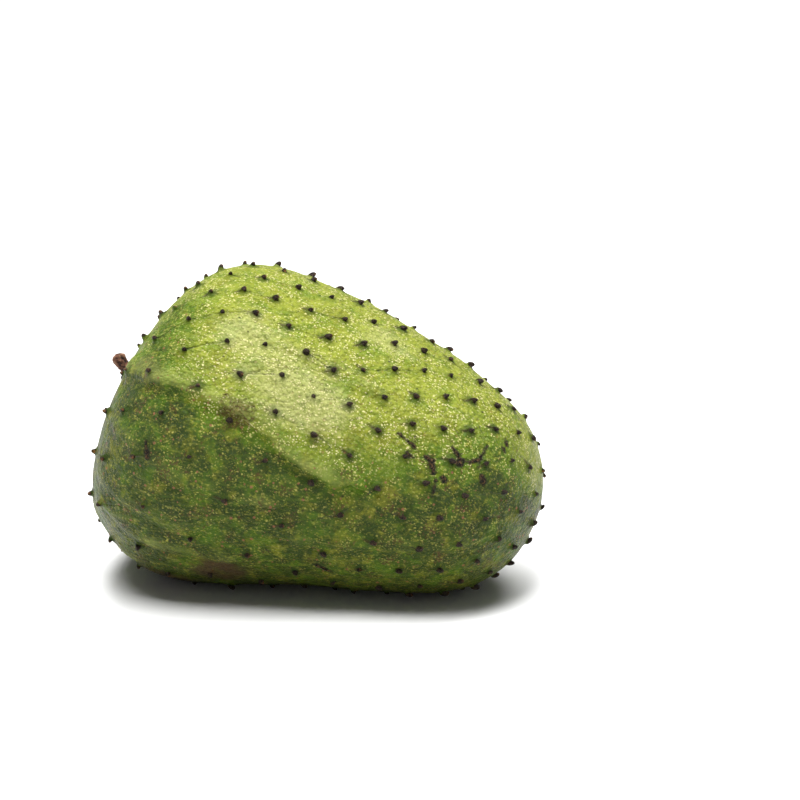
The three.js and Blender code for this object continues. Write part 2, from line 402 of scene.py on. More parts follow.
def fold_lift(directions, points, places, height):
    """A fold stands up gently on its upper side, and drops sharply to a groove on its lower side."""
    downs, arounds = np.array(places).T
    line = np.interp(np.degrees(np.arccos(-directions[:, 0])), downs, arounds)
    out = np.hypot(directions[:, 1], directions[:, 2])
    above = directions[:, 2] > out * np.sin(np.radians(line))
    apart = distance_to_path(points, places)
    ridge = np.exp(-((apart / np.where(above, FOLD_ABOVE, FOLD_BELOW)) ** 2))
    groove = np.exp(-((apart - GROOVE_AWAY * FOLD_BELOW) ** 2) / FOLD_BELOW**2)
    return height * (ridge - GROOVE_DEPTH * groove * ~above)


def all_folds(directions, points):
    """How far the folds lift the skin. Their lines waver, and their heights change along them."""
    waver = np.stack([rough(points, WAVER_SIZE, seed) for seed in WAVER_SEEDS], -1)
    wavy = unit(directions + WAVER * waver)
    wavy_points = skin_points(wavy)
    strength = 1 + CHANGE * rough(points, CHANGE_SIZE, CHANGE_SEED)
    return strength * sum(fold_lift(wavy, wavy_points, places, height) for places, height in FOLDS)


def blotches(points, places, fade):
    """1 and more inside some round places, falling to nothing at `fade` times their half size."""
    return sum(np.clip(fade - distance_to_place(points, place) / size, 0, 1) for place, size in places)


def bell(offset, width):
    return np.exp(-((offset / width) ** 2))


class Skin:
    """The skin's fine shape and marks, at any directions."""

    def __init__(self, directions):
        points = skin_points(directions)
        self.smooth = points
        self.normals = skin_normals(directions)
        self.fold = all_folds(directions, points)
        self.scar = scar_depth(points)
        self.russet = blotches(points, RUSSET_PATCHES, RUSSET_FADE)
        self.bruise = blotches(points, BRUISES, BRUISE_FADE)

        lift = sum(height * rough(points, size, seed) for height, size, seed in LUMPS)
        lift += self.fold
        lift += SCAR_HEIGHT * np.clip(self.scar / SCAR_RISE, 0, 1)
        lift -= DITCH_DEPTH * bell(self.scar + DITCH_AWAY, DITCH_WIDTH)
        lift += RUSSET_HEIGHT * np.clip(self.russet, 0, 1) * rough(points, RUSSET_SIZE, RUSSET_SEED)

        from_stem = points - skin_points(direction_of(STEM_SEAT)[None])[0]
        away = np.linalg.norm(from_stem, axis=-1)
        turn = np.arctan2(from_stem[:, 1], from_stem[:, 2])
        pucker = np.cos(PUCKERS * turn + PUCKER_UNEVENNESS * np.sin(2 * turn))
        lift += COLLAR_HEIGHT * bell(away - COLLAR_AWAY, COLLAR_WIDTH)
        lift += PUCKER_HEIGHT * pucker * bell(away - PUCKER_AWAY, PUCKER_WIDTH)
        self.collar = np.exp(-np.clip(away - COLLAR_MARK_AWAY, 0, None) / COLLAR_MARK_FADE)
        self.points = points + self.normals * lift[:, None]


def press(points):
    """Lays the underside on Z = 0, with a soft edge."""
    height = points[:, 2]
    edge = (np.clip(height, -PRESS_BLEND, PRESS_BLEND) + PRESS_BLEND) ** 2 / (4 * PRESS_BLEND)
    pressed = points.copy()
    pressed[:, 2] = np.where(height > PRESS_BLEND, height, edge)
    return pressed


class Spines:
    """Every spine's frame, size and temper."""

    def __init__(self):
        directions = spine_directions()
        self.index = np.flatnonzero(skin_points(directions)[:, 2] > LEAST_HEIGHT)
        self.directions = directions[self.index]
        self.feet = skin_points(self.directions)
        self.normals = skin_normals(self.directions)
        self.size = 1 - SPINE_SIZE_RANGE * chance(self.index)
        room = self.feet[:, 2] / np.maximum(-self.normals[:, 2], 0.05)  # down to the floor
        self.stature = np.clip(room / (CLAW_LENGTH + MOUND_HEIGHT), 0, 1)
        self.tipward = unit(np.array([1.0, 0, 0]) - self.normals[:, :1] * self.normals)
        swing = SWING_RANGE * (chance(self.index + SWING_DRAW) - 0.5)
        sideways = np.cross(self.tipward, self.normals)
        self.lean_way = self.tipward * np.cos(swing)[:, None] + sideways * np.sin(swing)[:, None]
        self.sideways = np.cross(self.lean_way, self.normals)
        self.stub = chance(self.index + STUB_DRAW) < STUB_SHARE
        self.kind = chance(self.index + KIND_DRAW)
        self.mound_reach = MOUND_REACH * (SMALL_MOUND + (1 - SMALL_MOUND) * self.size)


def ring_directions(spines, which, reach, turns):
    """Directions of the points at a distance from one spine, on the skin."""
    side, other, along_side, along_other = skin_slopes(spines.directions[which][None])
    basis = np.stack([along_side[0], along_other[0]], 1)
    offsets = reach * (
        np.cos(turns)[:, None] * spines.lean_way[which] + np.sin(turns)[:, None] * spines.sideways[which])
    steps = np.linalg.lstsq(basis, offsets.T, rcond=None)[0]
    return unit(spines.directions[which] + steps[:1].T * side + steps[1:].T * other)


def claw_lean(spines, which):
    """A claw's lean where it starts and the bend along it, in radians, and how near it is to the tip."""
    tipness = np.clip((spines.directions[which][0] + 0.55) / 1.1, 0, 1)  # 0 by the stem, 1 by the tip
    start, bend = (
        math.radians(at_stem + (at_tip - at_stem) * tipness)
        for at_stem, at_tip in zip(LEAN_AT_STEM, LEAN_AT_TIP))
    least, more = BEND_RANGE
    return start, bend * (least + more * spines.kind[which]), tipness


def claw_points(spines, which, profile, length, turns):
    """Rings of a claw, from its point to its foot."""
    size = spines.size[which]
    stature = spines.stature[which]
    temper = spines.kind[which]
    normal = spines.normals[which]
    lean = spines.lean_way[which]
    start, bend, tipness = claw_lean(spines, which)
    reach = length * size * stature * (LENGTH_AT_STEM + (1 - LENGTH_AT_STEM) * tipness)
    path = [spines.feet[which] + normal * MOUND_HEIGHT * size * stature * CLAW_SINK]
    for k in range(CLAW_STEPS):
        angle = start + bend * (k + 0.5) / CLAW_STEPS
        path.append(path[-1] + reach / CLAW_STEPS * (math.cos(angle) * normal + math.sin(angle) * lean))
    lobes = 1 + THREE_LOBES * np.sin(3 * turns + 6.3 * temper)
    lobes = lobes + FIVE_LOBES * np.sin(5 * turns + 11 * temper)
    rings = []
    for along, radius in profile:
        angle = start + bend * along
        across = math.cos(angle) * lean - math.sin(angle) * normal
        middle = path[int(round(along * CLAW_STEPS))]
        spread = CLAW_RADIUS * size * radius * lobes
        ring = np.cos(turns)[:, None] * across
        ring = ring + CLAW_THICKNESS * np.sin(turns)[:, None] * spines.sideways[which]
        rings.append(middle + spread[:, None] * ring)
    return rings


def spine_parts(spines):
    """The directions, points and marks of every spine's own vertices."""
    turns = np.arange(RING_POINTS) * 2 * math.pi / RING_POINTS
    parts = []

    def add(which, directions, points, lift, up):
        count = len(directions)
        marks = (lift, up, float(spines.stub[which]), which)
        parts.append((directions, points, *[np.full(count, mark) for mark in marks]))

    for which in range(len(spines.index)):
        shapes = ((CLAW_PROFILE, CLAW_LENGTH), (STUB_PROFILE, STUB_LENGTH))
        profile, length = shapes[int(spines.stub[which])]
        foot = CLAW_RADIUS * spines.size[which]
        rings = claw_points(spines, which, profile, length, turns)
        last = len(rings) - 1
        for row, ring in enumerate(rings):
            up = HORN_FOOT + (1 - HORN_FOOT) * (1 - row / last)
            if row == 0:
                add(which, spines.directions[which][None], ring.mean(0)[None], np.nan, up)
            else:
                add(which, ring_directions(spines, which, foot * row / last, turns), ring, np.nan, up)
        for step in MOUND_STEPS:
            reach = foot + (spines.mound_reach[which] - foot) * step
            height = MOUND_HEIGHT * spines.size[which] * spines.stature[which] * (1 - step) ** MOUND_SLOPE
            offset = turns[1] / 2 if step == MOUND_STEPS[-1] else 0
            directions = ring_directions(spines, which, reach, turns + offset)
            up = HORN_FOOT * max(0, 1 - step / HORN_REACH)
            add(which, directions, np.zeros((RING_POINTS, 3)), height, up)
    return [np.concatenate(part) for part in zip(*parts)]


def triangles_round(directions):
    """Joins directions that go all round into triangles, seen flat from one of the directions."""
    pole = int((directions @ direction_of(BELLY)).argmax())
    up = directions[pole]
    side = unit(np.cross(up, [1.0, 0, 0]))
    other = np.cross(up, side)
    rest = np.delete(np.arange(len(directions)), pole)
    turned = directions[rest]
    flat = np.stack([turned @ side, turned @ other], 1) / (1 - turned @ up)[:, None]
    found = delaunay_2d_cdt([Vector(p) for p in flat], [], [], 0, 1e-7, True)
    origin = np.array([source[0] for source in found[3]])
    triangles = rest[origin[np.array(found[2])]]
    edges = np.concatenate([triangles[:, [0, 1]], triangles[:, [1, 2]], triangles[:, [2, 0]]])
    ways = edges[:, 0] * len(directions) + edges[:, 1]
    back = edges[:, 1] * len(directions) + edges[:, 0]
    rim = edges[~np.isin(back, ways)]
    cap = np.stack([rim[:, 1], rim[:, 0], np.full(len(rim), pole)], 1)
    triangles = np.concatenate([triangles, cap])
    a, b, c = (directions[triangles[:, k]] for k in range(3))
    if (np.cross(b - a, c - a) * a).sum(-1).mean() < 0:
        triangles = triangles[:, ::-1]
    return triangles


def background_directions(spines):
    """Evenly spread directions away from the spines, finer near the stem and the scars."""

    def wanted(directions, fine):
        points = skin_points(directions)
        near_scar = scar_depth(points) > -FINE_NEAR_SCAR
        near = near_scar | (distance_to_place(points, STEM_SEAT) < FINE_NEAR_STEM)
        reach = spines.mound_reach + (FINE_CLEARANCE if fine else SKIN_CLEARANCE)
        free = np.ones(len(points), bool)
        for start in range(0, len(points), BATCH):
            part = slice(start, start + BATCH)
            apart = directions[part] @ spines.directions.T
            nearest = apart.argmax(1)
            away = np.linalg.norm(points[part] - spines.feet[nearest], axis=-1)
            free[part] = away > reach[nearest]
        return directions[free & (near == fine)]

    return np.concatenate([wanted(spiral(SKIN_POINTS), False), wanted(spiral(FINE_POINTS), True)])


def from_nearest_spine(spines, points, directions, owners):
    """Each point's place about its nearest spine (along its lean, across it, and how near, 0 to 1), and
    which spine that is."""
    nearest = owners.copy()
    loose = np.flatnonzero(owners < 0)
    for start in range(0, len(loose), BATCH):
        part = loose[start:start + BATCH]
        nearest[part] = (directions[part] @ spines.directions.T).argmax(1)
    offset = points - spines.feet[nearest]
    along = (offset * spines.lean_way[nearest]).sum(-1)
    across = (offset * spines.sideways[nearest]).sum(-1)
    away = np.hypot(along, across)
    near = np.clip((NEAR_SPINE - away) / NEAR_SPINE_FADE, 0, 1)
    return np.stack([along, across, near], 1), nearest


def veins_between(spines):
    """For each spine, the nearest spine ahead of it along the fruit, or -1."""
    offset = spines.feet[None] - spines.feet[:, None]
    apart = np.linalg.norm(offset, axis=-1)
    ahead = (offset * spines.tipward[:, None]).sum(-1) / np.maximum(apart, 1e-6)
    apart[ahead < VEIN_ALIGNMENT] = np.inf
    following = apart.argmin(1)
    return np.where(apart.min(1) < VEIN_REACH * spine_gap(spines.directions), following, -1)


def from_nearest_vein(spines, nearest, points):
    """Each point's distance to the side of the nearest vein, how far along the vein it is, and how
    strongly the vein shows there."""
    following = veins_between(spines)
    leading = np.full(len(following), -1)
    leading[following[following >= 0]] = np.flatnonzero(following >= 0)
    found = np.tile([NO_VEIN, 0, 0], (len(points), 1))
    for start, end in ((nearest, following[nearest]), (leading[nearest], nearest)):
        there = (start >= 0) & (end >= 0)
        run = spines.feet[end] - spines.feet[start]
        length = np.linalg.norm(run, axis=-1)
        run = run / np.maximum(length, 1e-6)[:, None]
        side = np.cross(spines.normals[nearest], run)
        offset = points - spines.feet[start]
        share = (offset * run).sum(-1) / np.maximum(length, 1e-6)
        apart = (offset * side).sum(-1)
        strength = np.clip(VEIN_WIDTH - np.abs(apart), 0, 1) * (share > 0) * (share < 1)
        strength = strength * (chance(spines.index[start] + VEIN_DRAW) > VEIN_MISSING)
        closer = there & (np.abs(apart) < np.abs(found[:, 0]))
        found[closer] = np.stack([apart, share, strength], 1)[closer]
    return found


def ripeness(directions):
    """From 0, the dark green of the underside, to 1, the yellow green of the top: partly the skin's own
    tone and partly painted shade, darker where the skin turns down and away from the overhead light.
    """
    down = np.degrees(np.arccos(-directions[:, 0]))
    out = np.hypot(directions[:, 1], directions[:, 2])
    rise = directions[:, 2] / np.maximum(out, 0.25)
    boundary = np.interp(down, *np.array(TONE_AND_SHADE_BOUNDARY).T)
    deep = sum(closeness(directions, place, spread) for place, spread in DEEP_GREENS)
    return np.clip(0.5 + (rise - boundary) / TONE_AND_SHADE_BLEND - DEEPNESS * deep, LEAST_RIPE_AND_SHADE, 1)


CHARTS = [(0, 1, 2), (1, 0, 2), (2, 0, 1)]  # for each main axis, the two that lie across it
CHART_MARGIN = 0.03


def map_of(directions, triangles):
    """A place on a flat map for each triangle corner: six charts, as of a cube round the fruit."""
    middle = directions[triangles].mean(1)
    main = np.abs(middle).argmax(1)
    forward = np.take_along_axis(middle, main[:, None], 1)[:, 0] > 0
    chart = np.array(CHARTS)[main]
    corners = directions[triangles]
    ahead = np.abs(np.take_along_axis(corners, chart[:, None, :1], 2))
    flat = np.arctan(np.take_along_axis(corners, chart[:, None, 1:], 2) / ahead) * 4 / math.pi
    flat = (flat * (1 - 2 * CHART_MARGIN) + 1) / 2
    return (flat + np.stack([main, forward], 1)[:, None]) / [3, 2]


def shown(directions, points, triangles, marks, name):
    """A mesh object of these points, with its marks as attributes."""
    mesh = bpy.data.meshes.new(name)
    mesh.from_pydata((points * MM).tolist(), [], triangles.tolist())
    mesh.polygons.foreach_set("use_smooth", np.ones(len(triangles), bool))
    if directions is not None:
        layer = mesh.uv_layers.new(name="OFBake")
        layer.uv.foreach_set("vector", map_of(directions, triangles).astype(np.float32).ravel())
    for mark, values in marks.items():
        kind, field = ("FLOAT_VECTOR", "vector") if values.ndim == 2 else ("FLOAT", "value")
        attribute = mesh.attributes.new(mark, kind, "POINT")
        attribute.data.foreach_set(field, values.astype(np.float32).ravel())
    mesh.update()
    piece = bpy.data.objects.new(name, mesh)
    bpy.context.scene.collection.objects.link(piece)
    return piece


def make_fruit():
    spines = Spines()
    own, points, lifts, ups, stubs, owners = spine_parts(spines)
    loose = background_directions(spines)
    directions = np.concatenate([own, loose])
    skin = Skin(directions)
    on_skin = np.concatenate([~np.isnan(lifts), np.ones(len(loose), bool)])
    lift = np.concatenate([np.nan_to_num(lifts), np.zeros(len(loose))])
    shape = skin.points + skin.normals * lift[:, None]
    claw = np.flatnonzero(~on_skin)
    shape[claw] = points[claw] + (skin.points - skin.smooth)[claw]
    shape = press(shape)
    owners = np.concatenate([owners, np.full(len(loose), -1)])
    around, nearest = from_nearest_spine(spines, skin.smooth, directions, owners)
    ripe = ripeness(directions)
    zeros = np.zeros(len(loose))
    marks = {
        "up_claw": np.concatenate([ups, zeros]),
        "broken": np.concatenate([stubs, zeros]),
        "from_spine": around,
        "from_vein": from_nearest_vein(spines, nearest, skin.smooth),
        # pale bloom with a painted sheen
        "bloom_and_sheen": sum(closeness(directions, place, spread) for place, spread in BLOOMS_AND_SHEEN),
        "spine_kind": spines.kind[nearest],
        # the skin's tone with painted shade: a dark underside and a pale top
        "ripe": ripe,
        "fleshy": np.clip((-directions[:, 0] - FLESHY_FROM) / FLESHY_BLEND, 0, 1),
        "fold": skin.fold,
        "scar": skin.scar,
        "russet": np.clip(skin.russet, 0, 1),
        "bruise": np.clip(skin.bruise, 0, 1),
        "collar": skin.collar,
    }
    return shown(directions, shape, triangles_round(directions), marks, "soursop_rind")


def make_stem():
    seat = skin_points(direction_of(STEM_SEAT)[None])[0]
    bend = (STEM_END_RISE - STEM_START_RISE) / STEM_LENGTH
    heights, radii = np.array(STEM_PROFILE).T
    share = np.linspace(0, 1, STEM_ROWS)
    rows = heights[0] + (heights[-1] - heights[0]) * (1 - (1 - share) ** STEM_ROW_SPREAD)
    radius = np.interp(rows, heights, radii)
    turns = np.arange(STEM_SIDES) * 2 * math.pi / STEM_SIDES
    along, turn = (grid.ravel() for grid in np.meshgrid(rows, turns, indexing="ij"))
    spread = np.repeat(radius, STEM_SIDES)
    cylinder = np.stack([spread * np.cos(turn), along, spread * np.sin(turn)], 1)
    bark = sum(height * rough(cylinder * stretch, size, seed) for height, stretch, size, seed in BARK)
    spread = np.maximum(spread + bark * np.clip(spread / FULL_BARK_RADIUS, LEAST_BARK, 1), 0)
    along = along + TORN_HEIGHT * rough(cylinder, TORN_SIZE, TORN_SEED) * (along > TORN_FROM)
    rise = STEM_START_RISE + bend * np.maximum(along, 0)
    root = np.minimum(along, 0)
    out = (np.sin(rise) - math.sin(STEM_START_RISE)) / bend + root * np.cos(rise)
    up = (math.cos(STEM_START_RISE) - np.cos(rise)) / bend + root * np.sin(rise)
    across = spread * np.sin(turn)
    points = np.stack([
        seat[0] - out + across * np.sin(rise),
        seat[1] + spread * np.cos(turn),
        seat[2] + up + across * np.cos(rise),
    ], 1)
    here = np.arange(STEM_ROWS * STEM_SIDES).reshape(STEM_ROWS, STEM_SIDES)
    over = np.roll(here, -1, 1)
    a, b, c, d = here[:-1], over[:-1], over[1:], here[1:]
    triangles = np.concatenate([np.stack(t, -1).reshape(-1, 3) for t in ((a, c, b), (a, d, c))])
    for ring, way in ((here[0], 1), (here[-1], -1)):
        fan = np.stack([ring, np.roll(ring, -1), np.full(STEM_SIDES, len(points))], 1)
        points = np.vstack([points, points[ring].mean(0)])
        triangles = np.concatenate([triangles, fan[:, ::way]])
    along = np.append(along, [heights[0], heights[-1]])
    cavity = np.append(bark, [0, 0])
    return shown(None, points, triangles, {"up_stem": along, "bark": cavity}, "stem_stub")


def linear(colour):
    """A colour written as 0xRRGGBB, as the shader wants it."""
    parts = [(colour >> shift & 255) / 255 for shift in (16, 8, 0)]
    return (*[p / 12.92 if p <= 0.04045 else ((p + 0.055) / 1.055) ** 2.4 for p in parts], 1)


BUMP_SCALE = 5 * MM  # the noises that drive the bump use only about a fifth of their range


class Nodes:
    """Writes a material's nodes. A value is a number, a colour or another node's output."""

    def __init__(self, name):
        self.material = bpy.data.materials.new(name)
        self.material.use_nodes = True
        self.tree = self.material.node_tree
        self.shader = self.tree.nodes["Principled BSDF"]

    def link(self, value, socket):
        if isinstance(value, bpy.types.NodeSocket):
            self.tree.links.new(value, socket)
        else:
            socket.default_value = value

    def add(self, kind, inputs=(), output=0, **settings):
        node = self.tree.nodes.new(kind)
        for key, value in settings.items():
            setattr(node, key, value)
        for key, value in dict(inputs).items():
            self.link(value, node.inputs[key])
        return node.outputs[output]

    def math(self, operation, a, b=0.0):
        return self.add("ShaderNodeMath", {0: a, 1: b}, operation=operation)

    def plus(self, a, b):
        return self.math("ADD", a, b)

    def times(self, a, b):
        return self.math("MULTIPLY", a, b)

    def minus(self, a, b):
        return self.math("SUBTRACT", a, b)

    def size_of(self, a):
        """The value without its sign."""
        return self.math("ABSOLUTE", a)

    def swing(self, noise, amount):
        """The noise, made to go up and down about nothing."""
        return self.times(self.minus(noise, 0.5), amount)

    def sway(self, value, noise, amount):
        """The value, pushed up and down by a noise."""
        return self.plus(value, self.swing(noise, amount))

    def ease(self, value, low, high, to_low=0.0, to_high=1.0):
        """Goes smoothly from to_low to to_high as the value goes from low to high."""
        inputs = {"Value": value, "From Min": low, "From Max": high, "To Min": to_low, "To Max": to_high}
        return self.add("ShaderNodeMapRange", inputs, interpolation_type="SMOOTHSTEP")

    def mix(self, share, a, b):
        node = self.tree.nodes.new("ShaderNodeMix")
        node.data_type = "RGBA"
        for key, value in ((0, share), (6, a), (7, b)):
            self.link(value, node.inputs[key])
        return node.outputs[2]

    def mark(self, name, output="Fac"):
        return self.add("ShaderNodeAttribute", output=output, attribute_name=name)

    def noise(self, where, size, detail=2.0, rough=0.5, warp=0.0):
        inputs = {"Vector": where, "Scale": 1 / (size * MM), "Detail": detail, "Roughness": rough,
                  "Distortion": warp}
        return self.add("ShaderNodeTexNoise", inputs, output="Fac")

    def cells(self, where, size, output="Distance"):
        inputs = {"Vector": where, "Scale": 1 / (size * MM)}
        return self.add("ShaderNodeTexVoronoi", inputs, output=output)

    def part(self, colour, output):
        return self.add("ShaderNodeSeparateColor", {"Color": colour}, output=output)

    def split(self, vector):
        node = self.tree.nodes.new("ShaderNodeSeparateXYZ")
        self.link(vector, node.inputs[0])
        return node.outputs

    def stretch(self, where, scale):
        return self.add("ShaderNodeMapping", {"Vector": where, "Scale": scale})

    def warp(self, where, size, amount):
        """The place, pushed about by up to half of `amount` mm, in swirls of `size` mm."""
        inputs = {"Vector": where, "Scale": 1 / (size * MM), "Detail": 2.0}
        swirl = self.add("ShaderNodeTexNoise", inputs, output="Color")
        middle = self.add("ShaderNodeVectorMath", {0: swirl, 1: (0.5, 0.5, 0.5)}, operation="SUBTRACT")
        push = self.add("ShaderNodeVectorMath", {0: middle, "Scale": amount * MM}, operation="SCALE")
        return self.add("ShaderNodeVectorMath", {0: where, 1: push}, operation="ADD")

    def bump(self, height):
        return self.add("ShaderNodeBump", {"Strength": 1.0, "Distance": BUMP_SCALE, "Height": height})

    def spots(self, where, size, small, large, kept):
        """Small round spots, one in each cell that is kept, of sizes from small to large (shares of a
        cell)."""
        distance = self.cells(where, size)
        colour = self.cells(where, size, "Color")
        limit = self.ease(self.part(colour, "Red"), 0.0, 1.0, small, large)
        there = self.math("GREATER_THAN", self.part(colour, "Green"), 1 - kept)
        return self.times(self.ease(self.math("DIVIDE", distance, limit), 1.15, 0.55), there)

    def finish(self, colour, height, roughness, specular):
        self.link(colour, self.shader.inputs["Base Color"])
        self.link(self.bump(height), self.shader.inputs["Normal"])
        self.link(roughness, self.shader.inputs["Roughness"])
        self.shader.inputs["Specular IOR Level"].default_value = specular
        return self.material


DEEP_GREEN = linear(0x253600)
LEAF_GREEN = linear(0x4B6500)
YELLOW_GREEN = linear(0x838C29)
# Painted highlight along the fold crests and painted shade in their grooves.
FOLD_CREST_HIGHLIGHT = linear(0x9EA454)
FOLD_GROOVE_SHADE = linear(0x2C4002)
# Painted shade round the foot of each spine.
SPINE_FOOT_SHADE = linear(0x283C02)
SPINE_TAIL = linear(0x322A08)
VEIN = linear(0x2F3A06)
# Painted sheen: a pale waxy grey green, laid where the skin catches the light.
BLOOM_AND_SHEEN = linear(0xA8AA6C)
# The pale spots are painted darker on the shaded underside and paler on the lit top.
FLECK_SHADED_BELOW, FLECK_LIT_ON_TOP = linear(0xBAB25A), linear(0xD2CA92)
RUST = linear(0x86583C)
SPECK = linear(0x252309)
BRUISE_DARK, BRUISE_PALE = linear(0x2E1E10), linear(0x503A24)
RUSSET_STAIN, RUSSET_DARK, RUSSET_PALE = linear(0x59541E), linear(0x553A20), linear(0x9A8250)
SCUFF = linear(0x4C3418)
COLLAR = linear(0x474418)
SCAR_RIM, SCAR_PIT, SCAR_CORK = linear(0x1F1C0A), linear(0x140C06), linear(0x664C2E)
CLAW_BLACK, CLAW_BROWN, CLAW_TIP = linear(0x120C08), linear(0x3E2E20), linear(0x74502E)
BROKEN_CLAW = linear(0x805D2F)
BARK_DARK, BARK_BROWN, BARK_PALE = linear(0x24130B), linear(0x6B4330), linear(0x9A7258)
LICHEN = linear(0x7A7850)
FRESH_BARK = linear(0x6E6A2C)

# Tones laid one after another over the rind's greens: the noise, the values at which it starts to show
# and shows most, how much it shows, and the colour.
GREEN_TONES = [
    ("mottle", 0.49, 0.66, 0.55, 0x4A600C),
    ("blots", 0.5, 0.68, 0.6, 0x727414),
    ("patchy", 0.48, 0.68, 0.55, 0x4C6E02),
    ("streaks", 0.55, 0.72, 0.3, 0x9A9C40),
    ("grain", 0.5, 0.7, 0.55, 0x344A00),
    ("grain", 0.46, 0.32, 0.35, 0x98982E),
]
# Pale spots: cell size, smallest, largest, share of cells kept, share where sparse, share on the dark
# green. The first kind is dust and the second is the freckles.
PALE_SPOTS = [(0.95, 0.22, 0.44, 0.85, 0.2, 0.4), (1.5, 0.12, 0.3, 0.88, 0.3, 0.7)]
RUST_SPOTS = (3.1, 0.1, 0.24, 0.55)
DARK_SPECKS = (5.3, 0.05, 0.13, 0.35)
SPOT_STRENGTH = 0.85
SPECK_STRENGTH = 0.8


class Rind(Nodes):
    """The rind's material, and the noises that several of the steps below use. Each step lays its
    colours over those of the steps before it."""

    def __init__(self):
        super().__init__("waxy_rind")
        place = self.add("ShaderNodeTexCoord", output="Object")
        self.own = self.add("ShaderNodeMapping", {"Vector": place, "Rotation": (0, -TIP_DROP, 0)})
        self.streaked = self.stretch(self.own, (0.42, 1, 1))
        self.stirred = self.warp(self.stretch(self.own, (0.8, 1, 1)), 1.3, 1.0)
        self.mottle = self.noise(self.streaked, 7, 4, 0.62, 0.6)
        self.patchy = self.noise(self.own, 12, 4, 0.62, 0.4)
        self.grain = self.noise(self.stirred, 1.5, 3, 0.65)
        self.blots = self.noise(self.own, 9, 4, 0.6, 0.5)
        self.streaks = self.noise(self.stretch(self.own, (0.2, 1, 1)), 1.9, 3, 0.6, 0.5)
        self.crust = self.noise(self.warp(self.own, 1.6, 1.4), 1.0, 4, 0.7)
        self.kind = self.mark("spine_kind")

    def lay(self, share, colour):
        self.colour = self.mix(share, self.colour, colour)


def greens(n):
    """Deep green below and yellow green on top, mottled: the skin's own tone, with painted shade below and
    painted light on top.
    """
    ripe = n.sway(n.mark("ripe"), n.noise(n.own, 30, 3, 0.55), 0.7)
    ripe = n.sway(ripe, n.patchy, 1.0)
    n.ripe = n.sway(ripe, n.mottle, 0.9)
    # Painted shade: the greens darken towards the underside and lighten on top, as the light falls.
    n.colour = n.mix(n.ease(n.ripe, 0.05, 0.5), DEEP_GREEN, LEAF_GREEN)
    n.lay(n.ease(n.ripe, 0.4, 0.95), YELLOW_GREEN)
    for noise, start, full, most, colour in GREEN_TONES:
        n.lay(n.ease(getattr(n, noise), start, full, 0.0, most), linear(colour))


def fold_highlight_and_shade(n):
    """Painted highlight on the fold crests and painted shade in the grooves below them."""
    crest = n.sway(n.mark("fold"), n.mottle, 1.8)
    n.lay(n.ease(crest, 0.4, 2.2, 0.0, 0.42), FOLD_CREST_HIGHLIGHT)
    n.lay(n.ease(crest, -0.1, -1.2, 0.0, 0.28), FOLD_GROOVE_SHADE)


def spine_foot_shade_and_tails(n):
    """Painted shade: a dark ring round the foot of each spine. And a dark tail behind it."""
    along, across, near = n.split(n.mark("from_spine", "Vector"))
    wobble = n.swing(n.noise(n.own, 2.0, 3), 2.4)
    square = n.plus(n.times(along, along), n.times(across, across))
    away = n.plus(n.math("SQRT", square), wobble)
    # Painted shade round the foot of the claw.
    ring = n.times(near, n.ease(n.kind, 0.2, 0.9, 0.25, 0.75))
    n.lay(n.times(n.ease(away, 4.4, 1.6), ring), SPINE_FOOT_SHADE)
    aside = n.size_of(n.plus(across, n.times(wobble, 0.35)))
    length = n.times(n.ease(along, -0.6, -1.6), n.ease(along, -6.2, -2.6))
    tail = n.times(n.times(n.ease(aside, 1.1, 0.2), length), near)
    n.lay(n.times(tail, n.ease(n.kind, 0.3, 0.7, 0.0, 0.8)), SPINE_TAIL)
    n.clear_of_claws = n.minus(1.0, n.times(n.ease(away, 3.0, 1.8), near))


def veins(n):
    """Thin dark lines from spine to spine, faintest half way."""
    aside, share, strength = n.split(n.mark("from_vein", "Vector"))
    aside = n.size_of(n.sway(aside, n.noise(n.own, 5, 2), 2.2))
    from_middle = n.size_of(n.minus(share, 0.5))
    vein = n.times(n.ease(aside, 0.6, 0.1), strength)
    n.vein = n.times(vein, n.ease(from_middle, 0.05, 0.4, 0.3, 0.8))
    n.lay(n.vein, VEIN)


def blooms_and_sheen(n):
    # Pale waxy bloom and painted sheen at the listed places, broken up by noise.
    uneven = n.times(n.minus(n.plus(n.mottle, n.streaks), 1.0), 0.9)
    bloom_and_sheen = n.ease(n.plus(n.mark("bloom_and_sheen"), uneven), 0.3, 1.2, 0.0, 0.64)
    n.lay(n.times(bloom_and_sheen, n.ease(n.grain, 0.66, 0.42, 0.45, 1.0)), BLOOM_AND_SHEEN)


def pale_spots(n):
    """Fine dust and larger freckles, thicker in some places and clear of the claws."""
    dense = n.ease(n.noise(n.own, 8, 3), 0.38, 0.58)
    # Painted shade and light: the spots take the darker colour where the greens are painted shaded.
    pale = n.mix(n.ease(n.ripe, 0.2, 0.8), FLECK_SHADED_BELOW, FLECK_LIT_ON_TOP)
    for size, small, large, kept, sparse, on_dark in PALE_SPOTS:
        spots = n.spots(n.stirred, size, small, large, kept)
        spots = n.times(spots, n.plus(sparse, n.times(dense, 1 - sparse)))
        spots = n.times(spots, n.ease(n.ripe, 0.0, 0.6, on_dark, 1.0))
        n.flecks = n.times(spots, n.clear_of_claws)
        n.lay(n.times(n.flecks, SPOT_STRENGTH), pale)


def dark_spots(n):
    """Rusty spots, mostly on the green parts, and a few dark specks."""
    where = n.warp(n.own, 0.8, 0.5)
    rust = n.times(n.spots(where, *RUST_SPOTS), n.ease(n.mark("ripe"), 0.9, 0.3, 0.3, 1.0))
    n.lay(n.times(rust, SPOT_STRENGTH), RUST)
    n.lay(n.times(n.spots(where, *DARK_SPECKS), SPECK_STRENGTH), SPECK)


